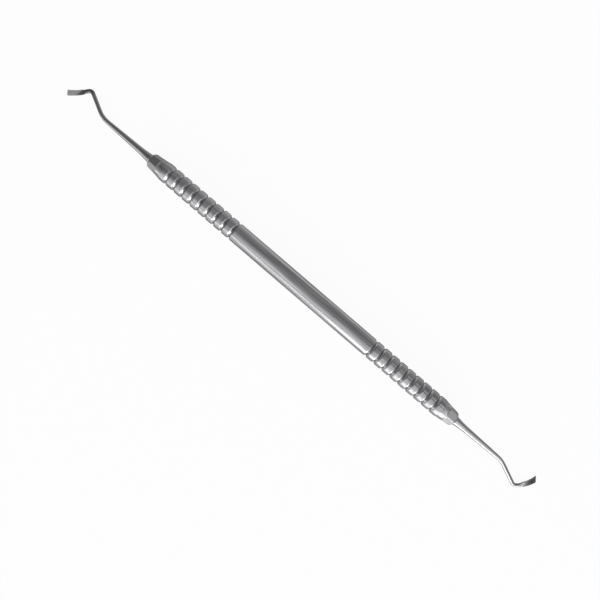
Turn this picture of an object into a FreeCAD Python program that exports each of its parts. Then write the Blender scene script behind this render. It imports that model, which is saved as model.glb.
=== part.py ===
import FreeCAD, Part
import math
import os
import re
import Sketcher

# Double-ended gingival margin trimmer. Lengths are in millimetres and angles in degrees.
# The origin is the middle of the handle, on its axis. +X runs along the handle to its right end, +Z is up.
# The handle is one turned bar with a blind socket in each end. Each working end is one forged and ground
# piece: a tang, a tapering shank, a bend, a knee and a curved blade. The two ends are a left and right pair.

SIZES = {
    # handle bar and its ring grooves
    "handle_length": 118.0,
    "handle_diameter": 6.0,
    "groove_count": 9,
    "groove_pitch": 3.07,
    "groove_start": 7.77,
    "groove_depth": 0.55,
    "groove_width": 1.5,
    "shoulder_depth": 0.1,
    "shoulder_width": 0.3,
    # tapered noses of the handle and the flats pressed into them
    "nose_length": 4.6,
    "nose_tip_diameter": 4.68,
    "nose_base_diameter": 5.58,
    "nose_run_up": 0.9,
    "nose_edge_bevel": 0.45,
    "flat_count": 6,
    "flat_depth": 0.3,
    "flat_length": 3.7,
    "flat_run_out": 0.6,
    "left_flat_angle": -2.8,
    "right_flat_angle": -7.8,
    # sockets and the tangs that fill them
    "socket_diameter": 2.5,
    "socket_depth": 12.0,
    "tang_end_gap": 0.3,
    # shank, from the handle's end face to the first bend
    "shank_base_diameter": 2.95,
    "flare_length": 4.7,
    "flare_radius": 34.0,
    "shank_waist_diameter": 2.0,
    "shank_bend_diameter": 1.34,
    "bend_radius": 7.7,
    "left_bend_position": 19.0,
    "right_bend_position": 18.4,
    # neck, from the first bend to the knee; the two ends are bent by hand and differ a little
    "left_contra_angle": 28.3,
    "right_contra_angle": 24.3,
    "left_contra_length": 8.7,
    "right_contra_length": 9.25,
    "neck_start_diameter": 1.2,
    "neck_end_width": 1.18,
    "neck_end_thickness": 1.08,
    "knee_radius": 1.2,
    "knee_width": 1.22,
    "knee_thickness": 1.0,
    # blade, from the knee to its slanted cutting edge
    "left_blade_angle": 54.0,
    "right_blade_angle": 56.5,
    "blade_length": 6.3,
    "blade_sweep_angle": 48.0,
    "blade_root_width": 1.26,
    "blade_root_thickness": 0.5,
    "blade_start_width": 1.32,
    "blade_width": 1.72,
    "blade_thickness": 0.55,
    "ground_length": 5.0,
    "edge_slant_angle": 20.0,
    "edge_bevel_angle": 45.0,
    # how far each piece is turned about the handle's axis
    "handle_roll_angle": -4.7,
    "left_roll_angle": 0.0,
    "right_roll_angle": 28.0,
    # how far a cutting outline reaches past the metal that it removes
    "cut_overrun": 1.5,
}

LEFT = -1
RIGHT = 1


def make_sheet():
    table = doc.addObject("Spreadsheet::Sheet", "Sizes")
    for row, (name, number) in enumerate(SIZES.items(), start=1):
        table.set(f"A{row}", name)
        table.set(f"B{row}", str(number))
        table.setAlias(f"B{row}", name)
    doc.recompute()
    return table


def bound(formula):
    """A formula of size names, written the way the document's expressions name the sheet's cells."""
    return re.sub(r"[a-z]+_[a-z_]+", lambda name: "Sizes." + name.group(), str(formula))


def value(formula):
    return float(sheet.evalExpression(bound(formula)))


def new_body(name):
    body = doc.addObject("PartDesign::Body", name)
    body.Label = name
    return body


def origin_feature(body, role):
    return next(item for item in body.Origin.OriginFeatures if item.Role == role)


def new_sketch(body, name, plane="XY_Plane", offset=None):
    sketch = body.newObject("Sketcher::SketchObject", name)
    sketch.AttachmentSupport = [(origin_feature(body, plane), "")]
    sketch.MapMode = "FlatFace"
    if offset:
        sketch.setExpression("AttachmentOffset", bound(offset))
    return sketch


def placed(x, y, z, rotation="rotation(0; 0; 0)"):
    return f"placement(vector({x}; {y}; {z}); {rotation})"


def pin(sketch, edge, end, point):
    """Holds one end of an edge at a point given by two formulas."""
    for kind, formula in zip(("DistanceX", "DistanceY"), point):
        constraint = Sketcher.Constraint(kind, -1, 1, edge, end, value(formula))
        index = sketch.addConstraint(constraint)
        sketch.setExpression(f"Constraints[{index}]", bound(formula))


def add_arc(sketch, start, end, radius, turn):
    """Adds the short arc from start to end; turn is 1 where it bends left and -1 where it bends right."""
    chord = end - start
    reach = math.sqrt(max(value(radius) ** 2 - chord.Length ** 2 / 4, 0))
    centre = (start + end) * 0.5 + FreeCAD.Vector(-chord.y, chord.x, 0).normalize() * reach * turn
    circle = Part.Circle(centre, FreeCAD.Vector(0, 0, 1), value(radius))
    first, last = (start, end) if turn > 0 else (end, start)
    angle_of = lambda place: math.atan2(place.y - centre.y, place.x - centre.x)
    sweep = (angle_of(last) - angle_of(first)) % (2 * math.pi)
    arc = Part.ArcOfCircle(circle, angle_of(first), angle_of(first) + sweep)
    edge = sketch.addGeometry(arc, False)
    index = sketch.addConstraint(Sketcher.Constraint("Radius", edge, value(radius)))
    sketch.setExpression(f"Constraints[{index}]", bound(radius))
    return edge


def draw(sketch, points, arcs=(), closed=True):
    """Joins the points in order. arcs maps a point's number to the radius and turn of the edge after it."""
    arcs = dict(arcs)
    places = [FreeCAD.Vector(value(x), value(y), 0) for x, y in points]
    count = len(points) if closed else len(points) - 1
    ends = []
    for number in range(count):
        start = places[number]
        end = places[(number + 1) % len(places)]
        if number in arcs:
            radius, turn = arcs[number]
            edge = add_arc(sketch, start, end, radius, turn)
            ends.append((edge, 1, 2) if turn > 0 else (edge, 2, 1))
        else:
            edge = sketch.addGeometry(Part.LineSegment(start, end), False)
            ends.append((edge, 1, 2))
        pin(sketch, edge, ends[-1][1], points[number])
    if not closed:
        pin(sketch, ends[-1][0], ends[-1][2], points[-1])
    for number in range(count if closed else count - 1):
        before, _, tail = ends[number]
        after, head, _ = ends[(number + 1) % count]
        sketch.addConstraint(Sketcher.Constraint("Coincident", before, tail, after, head))


def revolve(body, kind, name, sketch):
    turned = body.newObject(f"PartDesign::{kind}", name)
    turned.Profile = sketch
    turned.ReferenceAxis = (origin_feature(body, "X_Axis"), [""])
    turned.Angle = 360
    doc.recompute()
    return turned


def cut_across(body, name, sketch, width):
    """Cuts an outline away to half the width on each side of the sketch."""
    pocket = body.newObject("PartDesign::Pocket", name)
    pocket.Profile = sketch
    pocket.Type = "Length"
    pocket.SideType = "Symmetric"
    pocket.setExpression("Length", bound(width))
    doc.recompute()
    return pocket


# Handle: the turned blank

HALF = "handle_length / 2"
BAR_RADIUS = "handle_diameter / 2"
TIP_RADIUS = "nose_tip_diameter / 2"
BASE_RADIUS = "nose_base_diameter / 2"
NOSE_SLOPE = f"({BASE_RADIUS} - {TIP_RADIUS}) / (nose_length - nose_edge_bevel)"


def turn_blank(body):
    half_outline = [
        (HALF, f"{TIP_RADIUS} - nose_edge_bevel"),
        (f"{HALF} - nose_edge_bevel", TIP_RADIUS),
        (f"{HALF} - nose_length", BASE_RADIUS),
        (f"{HALF} - nose_length - nose_run_up", BAR_RADIUS),
    ]
    mirrored = [(f"-({x})", y) for x, y in reversed(half_outline)]
    points = [(HALF, "0")] + half_outline + mirrored + [(f"-{HALF}", "0")]
    outline = new_sketch(body, "BlankOutline")
    draw(outline, points)
    return revolve(body, "Revolution", "Blank", outline)


# Handle: the ring grooves of one grip, cut once and repeated towards the middle


def cut_rings(body, side, name):
    centre = f"{side} * ({HALF} - groove_start)"
    half_section = [
        ("0", f"{BAR_RADIUS} - groove_depth"),
        ("(groove_width / 2 - shoulder_width)", f"{BAR_RADIUS} - shoulder_depth"),
        ("groove_width / 2", BAR_RADIUS),
        ("groove_width / 2", f"{BAR_RADIUS} + cut_overrun"),
    ]
    points = [(f"{centre} + {x}", y) for x, y in half_section]
    points += [(f"{centre} - {x}", y) for x, y in reversed(half_section[1:])]
    section = new_sketch(body, f"{name}Section")
    draw(section, points)
    groove = revolve(body, "Groove", f"{name}First", section)
    rings = body.newObject("PartDesign::LinearPattern", name)
    rings.Originals = [groove]
    rings.Direction = (origin_feature(body, "X_Axis"), [""])
    rings.Mode = "Spacing"
    rings.Reversed = side == RIGHT
    body.Tip = rings
    rings.setExpression("Offset", bound("groove_pitch"))
    rings.setExpression("Occurrences", bound("groove_count"))
    doc.recompute()
    return rings


# Handle: the flats round one nose, each with a ramp at its inner end


def cut_flats(body, side, name, angle):
    ramp_start = "(flat_length - flat_run_out)"
    along_and_height = [
        ("-cut_overrun", f"{TIP_RADIUS} - flat_depth - cut_overrun * {NOSE_SLOPE}"),
        (ramp_start, f"{TIP_RADIUS} - flat_depth + {ramp_start} * {NOSE_SLOPE}"),
        ("flat_length", f"{TIP_RADIUS} + flat_length * {NOSE_SLOPE}"),
        ("flat_length", f"{BAR_RADIUS} + cut_overrun"),
        ("-cut_overrun", f"{BAR_RADIUS} + cut_overrun"),
    ]
    points = [(f"{side} * ({HALF} - {along})", height) for along, height in along_and_height]
    outline = new_sketch(body, f"{name}Outline", "XZ_Plane", placed(0, 0, 0, f"rotation(0; 0; {angle})"))
    draw(outline, points)
    flat = cut_across(body, f"{name}First", outline, "handle_diameter")
    flats = body.newObject("PartDesign::PolarPattern", name)
    flats.Originals = [flat]
    flats.Axis = (origin_feature(body, "X_Axis"), [""])
    flats.Angle = 360
    body.Tip = flats
    flats.setExpression("Occurrences", bound("flat_count"))
    doc.recompute()
    return flats


# Handle: the blind socket in one end


def bore_socket(body, side, name):
    mouth = f"{side} * ({HALF} + cut_overrun)"
    bottom = f"{side} * ({HALF} - socket_depth)"
    wall = "socket_diameter / 2"
    section = new_sketch(body, f"{name}Section")
    draw(section, [(bottom, "0"), (mouth, "0"), (mouth, wall), (bottom, wall)])
    return revolve(body, "Groove", name, section)


def make_handle():
    body = new_body("handle")
    turn_blank(body)
    cut_rings(body, LEFT, "LeftRings")
    cut_rings(body, RIGHT, "RightRings")
    cut_flats(body, LEFT, "LeftFlats", "left_flat_angle")
    cut_flats(body, RIGHT, "RightFlats", "right_flat_angle")
    bore_socket(body, LEFT, "LeftSocket")
    bore_socket(body, RIGHT, "RightSocket")
    body.setExpression("Placement", bound(placed(0, 0, 0, "rotation(0; 0; handle_roll_angle)")))
    return body


# Working end: its own origin is the middle of the handle's end face and +X leads away from the handle.
# The neck bends in the XY plane. The blade leaves the knee in that plane and curves up or down, along Z.

BEND_SPANS = 3
KNEE_SPANS = 5
ROOT_SPANS = 3
BLADE_SPANS = 8
BLADE_RADIUS = "(blade_length * 180 / (pi * blade_sweep_angle))"
BLANK_SWEEP = "(blade_sweep_angle * (1 + cut_overrun / blade_length))"
GROUND_START = "(blade_sweep_angle * (1 - ground_length / blade_length))"


def neck_start(hand):
    """Where the first bend begins, from the handle's end face. A hand is left or right."""
    return f"({hand}_bend_position - bend_radius * tan({hand}_contra_angle / 2))"


def knee_start(hand):
    """The middle of the neck's end, on the line that leaves the bend at the contra angle."""
    angle = f"{hand}_contra_angle"
    reach = f"({hand}_contra_length - knee_radius * tan(({angle} + {hand}_blade_angle) / 2))"
    return (f"({hand}_bend_position + {reach} * cos({angle}))", f"(0 - {reach} * sin({angle}))")


def bend_point(hand, angle):
    """The middle of the first bend where it has turned by an angle."""
    return (f"({neck_start(hand)} + bend_radius * sin({angle}))", f"(0 - bend_radius * (1 - cos({angle})))")


def knee_point(hand, heading):
    """The middle of the knee where it heads at an angle from the handle's axis."""
    x, y = knee_start(hand)
    return (
        f"({x} + knee_radius * (sin({hand}_contra_angle) + sin({heading})))",
        f"({y} + knee_radius * (cos({hand}_contra_angle) - cos({heading})))",
    )


def knee_end(hand):
    return knee_point(hand, f"{hand}_blade_angle")


def blend(first, last, number, spans):
    return f"({first} + ({last} - {first}) * {number} / {spans})"


def make_shank(body, hand):
    tang_end = "tang_end_gap - socket_depth"
    points = [
        (tang_end, "0"),
        (neck_start(hand), "0"),
        (neck_start(hand), "shank_bend_diameter / 2"),
        ("flare_length", "shank_waist_diameter / 2"),
        ("0", "shank_base_diameter / 2"),
        ("0", "socket_diameter / 2"),
        (tang_end, "socket_diameter / 2"),
    ]
    outline = new_sketch(body, "ShankOutline")
    draw(outline, points, {3: ("flare_radius", -1)})
    return revolve(body, "Revolution", "Shank", outline)


def round_section(body, name, offset, diameter):
    section = new_sketch(body, name, "YZ_Plane", offset)
    radius = f"{diameter} / 2"
    edge = section.addGeometry(Part.Circle(FreeCAD.Vector(), FreeCAD.Vector(0, 0, 1), value(radius)))
    section.addConstraint(Sketcher.Constraint("Coincident", edge, 3, -1, 1))
    index = section.addConstraint(Sketcher.Constraint("Radius", edge, value(radius)))
    section.setExpression(f"Constraints[{index}]", bound(radius))
    return section


def oval_section(body, name, offset, width, thickness):
    """An ellipse round the sketch's origin; one end of each of its axes is pinned."""
    section = new_sketch(body, name, "YZ_Plane", offset)
    wide_end = FreeCAD.Vector(value(width) / 2, 0, 0)
    thin_end = FreeCAD.Vector(0, value(thickness) / 2, 0)
    edge = section.addGeometry(Part.Ellipse(wide_end, thin_end, FreeCAD.Vector()))
    section.exposeInternalGeometry(edge)
    wide_axis, thin_axis = edge + 1, edge + 2
    section.addConstraint(Sketcher.Constraint("Coincident", edge, 3, -1, 1))
    section.addConstraint(Sketcher.Constraint("PointOnObject", wide_axis, 1, -1))
    for kind, axis, size in (("Distance", wide_axis, width), ("Distance", thin_axis, thickness)):
        index = section.addConstraint(Sketcher.Constraint(kind, axis, value(size)))
        section.setExpression(f"Constraints[{index}]", bound(size))
    return section


def loft(body, name, sections):
    """Joins the sections in order with straight spans."""
    lofted = body.newObject("PartDesign::AdditiveLoft", name)
    lofted.Profile = sections[0]
    lofted.Sections = sections[1:]
    lofted.Ruled = True
    doc.recompute()
    return lofted


def across_neck(place, heading):
    """The placement of a section that lies across the neck at a place where it heads at an angle."""
    x, y = place
    return placed(y, 0, x, f"rotation(0; {heading}; 0)")


def make_neck(body, hand):
    sections = []
    for number in range(BEND_SPANS + 1):
        turned = blend("0", f"{hand}_contra_angle", number, BEND_SPANS)
        across = across_neck(bend_point(hand, turned), f"-{turned}")
        diameter = blend("shank_bend_diameter", "neck_start_diameter", number, BEND_SPANS)
        sections.append(round_section(body, f"BendSection{number}", across, diameter))
    for number in range(KNEE_SPANS + 1):
        heading = blend(f"(0 - {hand}_contra_angle)", f"{hand}_blade_angle", number, KNEE_SPANS)
        across = across_neck(knee_point(hand, heading), heading)
        width = blend("neck_end_width", "knee_width", number, KNEE_SPANS)
        thickness = blend("neck_end_thickness", "knee_thickness", number, KNEE_SPANS)
        sections.append(oval_section(body, f"KneeSection{number}", across, width, thickness))
    return loft(body, "Neck", sections)


# Blade: it curves in a plane that stands on the knee's end, which is that plane's origin


def blade_point(side, radius, angle):
    """A point at a radius from the centre of the blade's curve; the angle runs from the knee to the tip."""
    return (f"(({radius}) * sin({angle}))", f"({side} * ({BLADE_RADIUS} - ({radius}) * cos({angle})))")


def blade_plane(hand):
    x, y = knee_end(hand)
    return placed(x, 0, f"(0 - {y})", f"rotation(0; {hand}_blade_angle; 0)")


def across_blade(hand, side, angle):
    """The placement of a section that lies across the blade at an angle along its curve."""
    out, up = blade_point(side, BLADE_RADIUS, angle)
    knee_x, knee_y = knee_end(hand)
    x = f"{knee_x} + {out} * cos({hand}_blade_angle)"
    y = f"{knee_y} + {out} * sin({hand}_blade_angle)"
    return placed(y, up, x, f"rotation(0; {hand}_blade_angle; {-side} * {angle})")


def make_blade_root(body, hand, side):
    """The rounded neck of the blade, which thins until it lies inside the ground blade."""
    sections = []
    for number in range(ROOT_SPANS + 1):
        across = across_blade(hand, side, blend("0", GROUND_START, number, ROOT_SPANS))
        width = blend("knee_width", "blade_root_width", number, ROOT_SPANS)
        thickness = blend("knee_thickness", "blade_root_thickness", number, ROOT_SPANS)
        sections.append(oval_section(body, f"RootSection{number}", across, width, thickness))
    return loft(body, "BladeRoot", sections)


def make_ground_blade(body, hand, side):
    """The flat-ground blade: one thickness all along, and wider towards the tip."""
    sections = []
    for number in range(BLADE_SPANS + 1):
        across = across_blade(hand, side, blend(GROUND_START, BLANK_SWEEP, number, BLADE_SPANS))
        half_width = blend("blade_start_width / 2", "blade_width / 2", number, BLADE_SPANS)
        half_thickness = "blade_thickness / 2"
        section = new_sketch(body, f"BladeSection{number}", "YZ_Plane", across)
        corners = [(half_width, half_thickness), (f"-{half_width}", half_thickness)]
        corners += [(f"-{half_width}", f"-{half_thickness}"), (half_width, f"-{half_thickness}")]
        draw(section, corners)
        sections.append(section)
    return loft(body, "GroundBlade", sections)


def grind_edge(body, hand, side):
    """Cuts the blade off along its slanted edge, leaving one bevel, on the convex side."""
    out, up = blade_point(side, BLADE_RADIUS, "blade_sweep_angle")
    turn = f"rotation({side} * blade_sweep_angle; 0; 0) * rotation(0; -edge_slant_angle; 0)"
    plane = f"{blade_plane(hand)} * {placed(out, up, 0, turn)}"
    convex_side = f"{side} * (blade_thickness / 2 + cut_overrun)"
    past_tip = "3 * cut_overrun"
    points = [
        ("cut_overrun / tan(edge_bevel_angle)", convex_side),
        (past_tip, convex_side),
        (past_tip, f"-{convex_side}"),
        ("-(blade_thickness + cut_overrun) / tan(edge_bevel_angle)", f"-{convex_side}"),
    ]
    outline = new_sketch(body, "EdgeOutline", "XZ_Plane", plane)
    draw(outline, points)
    return cut_across(body, "CuttingEdge", outline, "blade_width + cut_overrun")


def make_working_end(hand, side, placement):
    """side is 1 where the blade curves up the end's own Z axis and -1 where it curves down."""
    body = new_body(f"{hand}_working_end")
    make_shank(body, hand)
    make_neck(body, hand)
    make_blade_root(body, hand, side)
    make_ground_blade(body, hand, side)
    grind_edge(body, hand, side)
    body.setExpression("Placement", bound(placement))
    return body


doc = FreeCAD.newDocument("margin_trimmer")
sheet = make_sheet()
nodes = [
    make_handle(),
    make_working_end("left", 1, placed(f"-{HALF}", 0, 0, "rotation(180; 0; -left_roll_angle)")),
    make_working_end("right", -1, placed(HALF, 0, 0, "rotation(0; 0; right_roll_angle)")),
]
doc.recompute()

for item in doc.Objects:
    if "Invalid" in item.State or "Error" in item.State:
        raise RuntimeError(f"{item.Name} did not build: {item.State}")

os.makedirs("parts", exist_ok=True)
for node in nodes:
    if node.Shape.isNull() or not node.Shape.isValid() or len(node.Shape.Solids) != 1:
        raise RuntimeError(f"{node.Label} is not one sound solid")
    node.Shape.exportStep(f"parts/{node.Label}.step")
    print(node.Label, round(node.Shape.Volume, 3), len(node.Shape.Faces), node.Shape.BoundBox)
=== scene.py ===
# %% [markdown]
# # A double-ended gingival margin trimmer
# The real instrument is stainless steel throughout: a turned round handle with ring grooves, and two
# forged working ends whose small curved blades are ground to a slanted edge. The CAD frame already has
# every form, so the work here is the finish of the steel, the soft studio light and the camera.

import math

import bpy
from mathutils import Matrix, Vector


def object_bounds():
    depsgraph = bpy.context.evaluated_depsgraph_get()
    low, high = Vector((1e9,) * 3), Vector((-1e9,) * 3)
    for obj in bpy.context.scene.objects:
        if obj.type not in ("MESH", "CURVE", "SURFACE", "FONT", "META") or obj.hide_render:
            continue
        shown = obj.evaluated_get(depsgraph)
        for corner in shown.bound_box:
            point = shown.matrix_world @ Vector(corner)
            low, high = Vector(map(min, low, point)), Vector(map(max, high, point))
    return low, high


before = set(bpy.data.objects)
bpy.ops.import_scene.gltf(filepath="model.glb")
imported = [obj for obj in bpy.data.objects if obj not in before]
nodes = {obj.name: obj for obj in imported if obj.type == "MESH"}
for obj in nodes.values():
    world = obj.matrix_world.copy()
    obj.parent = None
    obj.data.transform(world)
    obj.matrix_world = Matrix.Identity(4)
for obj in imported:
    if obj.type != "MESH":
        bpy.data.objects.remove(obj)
CAD_BOX = [list(corner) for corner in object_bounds()]
WORKING_ENDS = [nodes["left_working_end"], nodes["right_working_end"]]
MM = 0.001
print("nodes:", sorted(nodes))
print("CAD box in mm:", [[round(value / MM, 2) for value in corner] for corner in CAD_BOX])

# %% [markdown]
# ## Smooth surfaces
# The frame comes as flat triangles, and each CAD face is a separate sheet of them. A real turned bar has
# no facets. Welding joins the sheets, a small bevel breaks each edge the way a polishing wheel does, and
# weighted normals keep the broad faces flat in the light. These are modifiers, so the frame's own mesh
# stays as it was packed.


# %% Soften edges
WELD_DISTANCE = 0.002  # mm


def soften(node, edge_width, edge_angle):
    """Welds a node, rounds by edge_width (mm) what turns more than edge_angle (degrees), shades it smooth."""
    mesh = node.data
    mesh.polygons.foreach_set("use_smooth", [True] * len(mesh.polygons))
    if mesh.has_custom_normals:
        mesh.attributes.remove(mesh.attributes["custom_normal"])
    weld = node.modifiers.new("join the faces", "WELD")
    weld.merge_threshold = WELD_DISTANCE * MM
    bevel = node.modifiers.new("break the edges", "BEVEL")
    bevel.limit_method = "ANGLE"
    bevel.angle_limit = math.radians(edge_angle)
    bevel.width = edge_width * MM
    bevel.segments = 2
    bevel.use_clamp_overlap = True
    normals = node.modifiers.new("flat faces stay flat", "WEIGHTED_NORMAL")
    normals.mode = "FACE_AREA"
    normals.weight = 60
    normals.keep_sharp = False


soften(nodes["handle"], edge_width=0.08, edge_angle=14)
for end in WORKING_ENDS:
    soften(end, edge_width=0.03, edge_angle=32)
bpy.context.view_layer.update()
for name, node in sorted(nodes.items()):
    shown = node.evaluated_get(bpy.context.evaluated_depsgraph_get())
    print(name, "shows", len(shown.data.polygons), "faces")

# %% [markdown]
# ## Colours
# Steel colours are picked as sRGB hex, the way a colour picker shows them. Blender's shaders want linear
# light, so one function turns one into the other.


# %% Hex to linear
def linear(hex_colour):
    """An sRGB hex colour as a linear RGBA tuple."""
    channels = [int(hex_colour[i : i + 2], 16) / 255 for i in (1, 3, 5)]
    curve = [c / 12.92 if c <= 0.04045 else ((c + 0.055) / 1.055) ** 2.4 for c in channels]
    return (*curve, 1.0)


print("steel #B4B4B6 is", [round(c, 3) for c in linear("#B4B4B6")])

# %% [markdown]
# ## A helper for node materials
# Every finish below is a short chain of shader nodes. One function adds a node, gives it its settings and
# joins its inputs, so each chain reads from top to bottom.


# %% Add a node
def add(tree, kind, settings=None, **inputs):
    """Adds a shader node. settings are its properties; each input is a value or another node's output."""
    node = tree.nodes.new(kind)
    for name, setting in (settings or {}).items():
        setattr(node, name, setting)
    for name, given in inputs.items():
        key = int(name[1:]) if name[0] == "_" else name.replace("_", " ")
        socket = node.inputs[key]
        if isinstance(given, bpy.types.NodeSocket):
            tree.links.new(given, socket)
        else:
            socket.default_value = given
    return node


def new_material(name):
    """A material without any nodes yet, and its node tree."""
    material = bpy.data.materials.new(name)
    material.use_nodes = True
    material.node_tree.nodes.clear()
    return material, material.node_tree


# %% [markdown]
# ## Two kinds of steel finish share their marks
# Both finishes start from the same metal, so they share how marks are made. Marks are noise drawn in the
# object's own millimetres and stretched along the way the tool moved: a noise that changes quickly across
# the marks and slowly along them. Real marks lie much closer together than a pixel here, so all of them are
# drawn coarser than they are: the belt's lines coarse enough to show, and the others as a faint grain.


# %% Tool marks
def marks(tree, place, across, along, direction, detail=3.0):
    """Streaks with a spacing of across mm, each about along mm long, running along a direction."""
    steps = [1 / (along if axis == direction else across) / MM for axis in "xyz"]
    stretched = add(tree, "ShaderNodeVectorMath", {"operation": "MULTIPLY"}, _0=place, _1=steps).outputs[0]
    noise = add(tree, "ShaderNodeTexNoise", Vector=stretched, Scale=1.0, Detail=detail, Roughness=0.6)
    return noise.outputs["Fac"]


# Nearly all of a noise's values lie in this span, so a Map Range node from here to a low and a high value
# reaches both of them.
NOISE_SPAN = {"From_Min": 0.3, "From_Max": 0.7}


# %% [markdown]
# ## Handle: stainless steel, turned and satin polished
# The bar is turned on a lathe, the rings are cut with a form tool, and the whole is then polished along
# its length with a fine belt. That leaves soft lengthwise lines on the crests, rings of tool marks down
# in the grooves, and a satin sheen that smears reflections. The belt doesn't reach down into the grooves,
# which keep the smoother finish of the tool, so the finish changes with the distance from the axis.

# %% Turned satin steel
BAR_RADIUS = (nodes["handle"].dimensions.y / 2) / MM
GROOVE_STARTS = 0.15  # mm below the bar's surface
GROOVE_IS_FULL = 0.45  # mm below the bar's surface
TURNING_STEP = 1 / 7  # mm along the bar from one turning mark to the next
TURNING_LENGTH = 6.25  # mm round the bar before a turning mark changes
print("bar radius in mm:", round(BAR_RADIUS, 2))


def turned_satin_steel():
    material, tree = new_material("stainless_steel_turned_satin")
    place = add(tree, "ShaderNodeTexCoord").outputs["Object"]
    belt_lines = marks(tree, place, across=0.5, along=24.0, direction="x")
    soft_patches = marks(tree, place, across=2.2, along=6.0, direction="x", detail=2.0)
    steps = [1 / step / MM for step in (TURNING_STEP, TURNING_LENGTH, TURNING_LENGTH)]
    rings = add(tree, "ShaderNodeVectorMath", {"operation": "MULTIPLY"}, _0=place, _1=steps).outputs[0]
    ring_marks = add(tree, "ShaderNodeTexNoise", Vector=rings, Scale=1.0, Detail=2.0).outputs["Fac"]
    across_axis = add(tree, "ShaderNodeVectorMath", {"operation": "MULTIPLY"}, _0=place, _1=(0.0, 1.0, 1.0))
    radius = add(tree, "ShaderNodeVectorMath", {"operation": "LENGTH"}, _0=across_axis.outputs[0])
    groove = add(
        tree,
        "ShaderNodeMapRange",
        {"interpolation_type": "SMOOTHSTEP"},
        Value=radius.outputs["Value"],
        From_Min=(BAR_RADIUS - GROOVE_STARTS) * MM,
        From_Max=(BAR_RADIUS - GROOVE_IS_FULL) * MM,
    ).outputs["Result"]
    line_tone = add(tree, "ShaderNodeMapRange", Value=belt_lines, From_Min=0.4, From_Max=0.6)
    tone = add(
        tree,
        "ShaderNodeMix",
        {"data_type": "RGBA"},
        Factor=line_tone.outputs["Result"],
        A=linear("#868688"),
        B=linear("#B4B4B6"),
    )
    patch_share = add(tree, "ShaderNodeMapRange", Value=soft_patches, **NOISE_SPAN, To_Max=0.25)
    worn = add(
        tree,
        "ShaderNodeMix",
        {"data_type": "RGBA"},
        Factor=patch_share.outputs["Result"],
        A=tone.outputs["Result"],
        B=linear("#8C8C8E"),
    )
    base = add(
        tree,
        "ShaderNodeMix",
        {"data_type": "RGBA"},
        Factor=groove,
        A=worn.outputs["Result"],
        B=linear("#A0A0A2"),
    )
    crest_roughness = add(
        tree,
        "ShaderNodeMapRange",
        Value=belt_lines,
        **NOISE_SPAN,
        To_Min=0.38,
        To_Max=0.26,
    ).outputs["Result"]
    roughness = add(tree, "ShaderNodeMix", {"data_type": "FLOAT"}, Factor=groove, A=crest_roughness, B=0.24)
    height = add(tree, "ShaderNodeMix", {"data_type": "FLOAT"}, Factor=groove, A=belt_lines, B=ring_marks)
    bump = add(tree, "ShaderNodeBump", Height=height.outputs["Result"], Strength=0.35, Distance=0.016 * MM)
    steel = add(
        tree,
        "ShaderNodeBsdfPrincipled",
        Base_Color=base.outputs["Result"],
        Metallic=1.0,
        Specular_Tint=linear("#9A9A9A"),
        Roughness=roughness.outputs["Result"],
        Normal=bump.outputs["Normal"],
    )
    add(tree, "ShaderNodeOutputMaterial", Surface=steel.outputs["BSDF"])
    return material


# %% [markdown]
# ## Working ends: the same steel, ground and polished
# The shanks are polished bright on a soft wheel, so they mirror the room as long dark and light streaks.
# The last bend is tight and hard to reach with a wheel, so it is made duller, and its colour is darkened as
# painted shade, much more on the left bend than on the right. The blade is ground flat on a stone and left
# satin; its colour is lightened on the left blade as painted light and darkened on the right blade as painted
# shade. In the photograph the left bend and the right blade look the darkest. Part of that may be reflection
# on the real steel. These painted tones were fitted to the photograph. Each finish belongs to a place along
# the instrument, so it changes with the distance from the middle and with the side.

# %% Ground and polished steel
BLADE_STARTS = 87.6  # mm from the middle
GRINDING_FADE = 0.6  # mm to each side of that, where the two finishes mix
BEND_STARTS = 4.0  # mm before the blade, where the dull finish begins
BEND_IS_FULL = 2.0  # mm before the blade, where it is full
print("the ground part of each blade starts", BLADE_STARTS, "mm from the middle")


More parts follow.
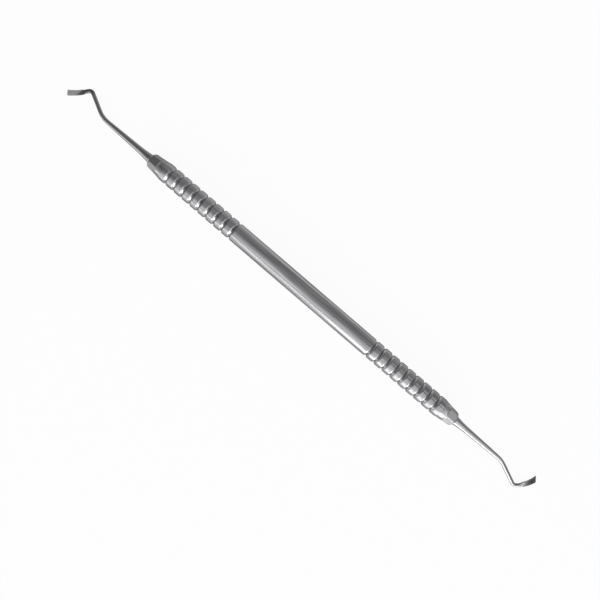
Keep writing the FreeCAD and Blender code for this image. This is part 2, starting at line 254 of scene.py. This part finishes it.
def polished_steel():
    material, tree = new_material("stainless_steel_ground_polished")
    place = add(tree, "ShaderNodeTexCoord").outputs["Object"]
    wheel_lines = marks(tree, place, across=0.22, along=4.0, direction="x")
    stone_lines = marks(tree, place, across=0.12, along=1.6, direction="y", detail=2.0)
    along_axis = add(tree, "ShaderNodeSeparateXYZ", Vector=place).outputs["X"]
    # 0 at the left end and 1 at the right end
    right_end = add(
        tree,
        "ShaderNodeMapRange",
        Value=along_axis,
        From_Min=-MM,
        From_Max=MM,
    ).outputs["Result"]
    # How much the last bend is dulled and darkened: 0.9 on the left, 0.25 on the right. The darkening is
    # painted shade.
    bend_dullness_and_shade = add(tree, "ShaderNodeMix", {"data_type": "FLOAT"}, Factor=right_end, A=0.9, B=0.25)
    distance = add(tree, "ShaderNodeMath", {"operation": "ABSOLUTE"}, _0=along_axis)
    ground = add(
        tree,
        "ShaderNodeMapRange",
        {"interpolation_type": "SMOOTHSTEP"},
        Value=distance.outputs["Value"],
        From_Min=(BLADE_STARTS - GRINDING_FADE) * MM,
        From_Max=(BLADE_STARTS + GRINDING_FADE) * MM,
    ).outputs["Result"]
    line_tone = add(tree, "ShaderNodeMapRange", Value=wheel_lines, **NOISE_SPAN)
    bright = add(
        tree,
        "ShaderNodeMix",
        {"data_type": "RGBA"},
        Factor=line_tone.outputs["Result"],
        A=linear("#8E8E90"),
        B=linear("#9E9EA0"),
    )
    # Painted light and shade: the left blade's colour is lighter and the right blade's darker than the steel
    # is.
    stone_tone_painted_light_and_shade = add(
        tree,
        "ShaderNodeMix",
        {"data_type": "RGBA"},
        Factor=right_end,
        A=linear("#C6C6C8"),
        B=linear("#6A6A6C"),
    )
    shank_and_blade = add(
        tree,
        "ShaderNodeMix",
        {"data_type": "RGBA"},
        Factor=ground,
        A=bright.outputs["Result"],
        B=stone_tone_painted_light_and_shade.outputs["Result"],
    )
    bend = add(
        tree,
        "ShaderNodeMapRange",
        {"interpolation_type": "SMOOTHSTEP"},
        Value=distance.outputs["Value"],
        From_Min=(BLADE_STARTS - BEND_STARTS) * MM,
        From_Max=(BLADE_STARTS - BEND_IS_FULL) * MM,
        To_Max=bend_dullness_and_shade.outputs["Result"],
    ).outputs["Result"]
    dull_and_shaded_bend = add(
        tree,
        "ShaderNodeMath",
        {"operation": "SUBTRACT", "use_clamp": True},
        _0=bend,
        _1=ground,
    ).outputs["Value"]
    # Painted shade: the last bend's colour is mixed towards a dark grey, while its roughness below is a real
    # duller finish.
    base = add(
        tree,
        "ShaderNodeMix",
        {"data_type": "RGBA"},
        Factor=dull_and_shaded_bend,
        A=shank_and_blade.outputs["Result"],
        B=linear("#5C5C5E"),
    )
    polished = add(tree, "ShaderNodeMapRange", Value=wheel_lines, **NOISE_SPAN, To_Min=0.12, To_Max=0.2)
    stoned = add(tree, "ShaderNodeMapRange", Value=stone_lines, **NOISE_SPAN, To_Min=0.3, To_Max=0.42)
    two_finishes = add(
        tree,
        "ShaderNodeMix",
        {"data_type": "FLOAT"},
        Factor=ground,
        A=polished.outputs["Result"],
        B=stoned.outputs["Result"],
    )
    roughness = add(
        tree,
        "ShaderNodeMix",
        {"data_type": "FLOAT"},
        Factor=dull_and_shaded_bend,
        A=two_finishes.outputs["Result"],
        B=0.42,
    )
    height = add(tree, "ShaderNodeMix", {"data_type": "FLOAT"}, Factor=ground, A=wheel_lines, B=stone_lines)
    bump = add(tree, "ShaderNodeBump", Height=height.outputs["Result"], Strength=0.2, Distance=0.008 * MM)
    steel = add(
        tree,
        "ShaderNodeBsdfPrincipled",
        Base_Color=base.outputs["Result"],
        Metallic=1.0,
        Specular_Tint=linear("#9A9A9A"),
        Roughness=roughness.outputs["Result"],
        Normal=bump.outputs["Normal"],
    )
    add(tree, "ShaderNodeOutputMaterial", Surface=steel.outputs["BSDF"])
    return material


# %% [markdown]
# ## Each node gets its steel
# The finishes made above take the place of whatever material the frame's nodes came with. Both working ends
# share one, because the real ends look forged and finished in the same way.


# %% Give the nodes their steel
def dress(node, material):
    """Puts one material in place of those that the node came with."""
    node.data.materials.clear()
    node.data.materials.append(material)
    print(node.name, "is", material.name)


dress(nodes["handle"], turned_satin_steel())
end_steel = polished_steel()
for end in WORKING_ENDS:
    dress(end, end_steel)

# %% [markdown]
# ## Floor
# The instrument lies on a plain white sheet. The sheet is pale, and where the camera or a reflection sees
# it, it is mostly lit evenly from itself, so it reads white and still keeps a soft shadow.

# %% White sheet
FLOOR_SIZE = 4.0  # m
EVEN_SHARE = 0.94  # of what the camera or a reflection sees of the sheet
floor_height = CAD_BOX[0][2]


def white_sheet():
    material, tree = new_material("white_paper_matte")
    ray = add(tree, "ShaderNodeLightPath")
    seen = 0.0
    for kind in ("Is Camera Ray", "Is Glossy Ray", "Is Transmission Ray"):
        seen = add(
            tree,
            "ShaderNodeMath",
            {"operation": "ADD", "use_clamp": True},
            _0=seen,
            _1=ray.outputs[kind],
        ).outputs["Value"]
    share = add(tree, "ShaderNodeMath", {"operation": "MULTIPLY"}, _0=seen, _1=EVEN_SHARE)
    paper = add(tree, "ShaderNodeBsdfDiffuse", Color=linear("#F2F2F2"))
    even = add(tree, "ShaderNodeEmission", Color=linear("#FFFFFF"), Strength=1.0)
    mixed = add(tree, "ShaderNodeMixShader", Fac=share.outputs[0], _1=paper.outputs[0], _2=even.outputs[0])
    add(tree, "ShaderNodeOutputMaterial", Surface=mixed.outputs[0])
    return material


half = FLOOR_SIZE / 2
corners = [
    (-half, -half, floor_height),
    (half, -half, floor_height),
    (half, half, floor_height),
    (-half, half, floor_height),
]
sheet_mesh = bpy.data.meshes.new("white_sheet")
sheet_mesh.from_pydata(corners, [], [(0, 1, 2, 3)])
sheet_mesh.materials.append(white_sheet())
floor = bpy.data.objects.new("white_sheet", sheet_mesh)
bpy.context.scene.collection.objects.link(floor)
print("floor at", round(floor_height / MM, 2), "mm")

# %% [markdown]
# ## Light
# A bar of steel shows the room it lies in, so most of the light is the room itself. Its ceiling is dim and
# keeps the top of the bar a quiet grey. One long side of the room glows and makes the bright band along the
# lower side of the bar. A high glow towards the right end draws the short glints on the shoulders of the
# rings, and a faint low glow at each end of the room lights the walls of the grooves. The darker corners of
# the room help to make the left nose and the right blade dark. The real studio isn't known, so all of this
# was fitted to the photograph.


# %% Room
DIM_CEILING = 0.42
# Each place in the room has a direction, the cosine of the angle to it where its glow fades out, the cosine
# where the glow is full, and the strength that it adds. A strength below 0 makes a dark place.
SOFT_PLACES = [
    # the long glowing side, for the bright band along the bar
    (Vector((0.22, -0.83, 0.5)), 0.57, 0.97, 1.05),
    # the high glow that draws the glints on the rings
    (Vector((0.5, -0.12, 0.86)), 0.945, 0.99, 1.3),
    # a brighter patch of the long side, for the right end
    (Vector((0.61, -0.6, 0.5)), 0.93, 0.99, 0.9),
    # a high glow at the far side, for a flat of the right nose
    (Vector((0.5, 0.4, 0.77)), 0.94, 0.985, 0.5),
    # the dark corner that the left nose shows
    (Vector((-0.7, 0.1, 0.7)), 0.75, 1.0, -0.22),
    # the dark corner that the right blade shows
    (Vector((0.82, 0.02, 0.52)), 0.95, 0.99, -0.36),
    # the low glow at the left end, for the grooves of the right grip
    (Vector((-0.93, 0.28, 0.17)), 0.85, 0.97, 0.3),
    # the low glow at the right end, for the grooves of the left grip
    (Vector((0.96, 0.29, 0.1)), 0.95, 0.99, 0.3),
]


def room():
    world = bpy.data.worlds.new("studio room")
    world.use_nodes = True
    tree = world.node_tree
    tree.nodes.clear()
    direction = add(tree, "ShaderNodeTexCoord").outputs["Generated"]
    level = DIM_CEILING
    for place, fades_out, full, added in SOFT_PLACES:
        towards = add(
            tree,
            "ShaderNodeVectorMath",
            {"operation": "DOT_PRODUCT"},
            _0=direction,
            _1=place.normalized(),
        )
        glow = add(
            tree,
            "ShaderNodeMapRange",
            {"interpolation_type": "SMOOTHSTEP"},
            Value=towards.outputs["Value"],
            From_Min=fades_out,
            From_Max=full,
            To_Max=added,
        ).outputs["Result"]
        level = add(tree, "ShaderNodeMath", {"operation": "ADD"}, _0=level, _1=glow).outputs["Value"]
    sky = add(tree, "ShaderNodeBackground", Color=linear("#FFFFFF"), Strength=level)
    add(tree, "ShaderNodeOutputWorld", Surface=sky.outputs[0])
    bpy.context.scene.world = world
    print("the room has", len(SOFT_PLACES), "glows and dark places")


room()

# %% [markdown]
# ## Soft boxes
# Three wide lamps stand low along the glowing side and face the handle. They strengthen the bright band, most
# of all towards the right end. A wide lamp stays soft when a round bar mirrors it, where a small one would
# make a hard line.


# %% Place the soft boxes
def soft_box(name, place, size, power):
    """A rectangular lamp of a size (m) and power (W) at a place (m), facing the middle of the handle."""
    data = bpy.data.lights.new(name, "AREA")
    data.shape = "RECTANGLE"
    data.size, data.size_y = size
    data.energy = power
    lamp = bpy.data.objects.new(name, data)
    lamp.location = place
    lamp.rotation_euler = (-Vector(place)).to_track_quat("-Z", "Y").to_euler()
    bpy.context.scene.collection.objects.link(lamp)
    print(name, "gives", power, "W")


soft_box("low soft box", place=(0.34, -0.58, 0.14), size=(0.9, 0.25), power=2.2)
soft_box("right soft box", place=(0.44, -0.5, 0.08), size=(0.5, 0.14), power=1.3)
soft_box("left soft box", place=(-0.36, -0.56, 0.08), size=(0.36, 0.13), power=0.4)

# %% [markdown]
# ## Camera
# The photograph looks straight down at the instrument from close by. That is read from the ring grooves:
# away from the picture's middle their lines bow outwards, because the top of the bar is nearer to the
# camera than its sides. The handle runs at an angle across the picture, and the picture's middle lies a few
# millimetres off the handle's own middle.

# %% Look straight down
CAMERA_HEIGHT = 177.4  # mm above the handle's axis
PICTURE_MIDDLE = (1.38, -2.86)  # mm from the middle of the handle
PICTURE_SIDE = 600  # pixels
FOCAL_PIXELS = 600  # the lens, as its distance from the picture in pixels
HANDLE_SLOPE = 40.65  # degrees

camera_data = bpy.data.cameras.new("camera")
camera_data.sensor_fit = "HORIZONTAL"
camera_data.angle = 2 * math.atan(PICTURE_SIDE / 2 / FOCAL_PIXELS)
camera_data.clip_start = 0.01
camera = bpy.data.objects.new("camera", camera_data)
camera.location = (PICTURE_MIDDLE[0] * MM, PICTURE_MIDDLE[1] * MM, CAMERA_HEIGHT * MM)
camera.rotation_euler = (0, 0, math.radians(HANDLE_SLOPE))
bpy.context.scene.collection.objects.link(camera)
bpy.context.scene.camera = camera
bpy.context.scene.view_settings.view_transform = "Standard"
print("field of view:", round(math.degrees(camera_data.angle), 1), "degrees")
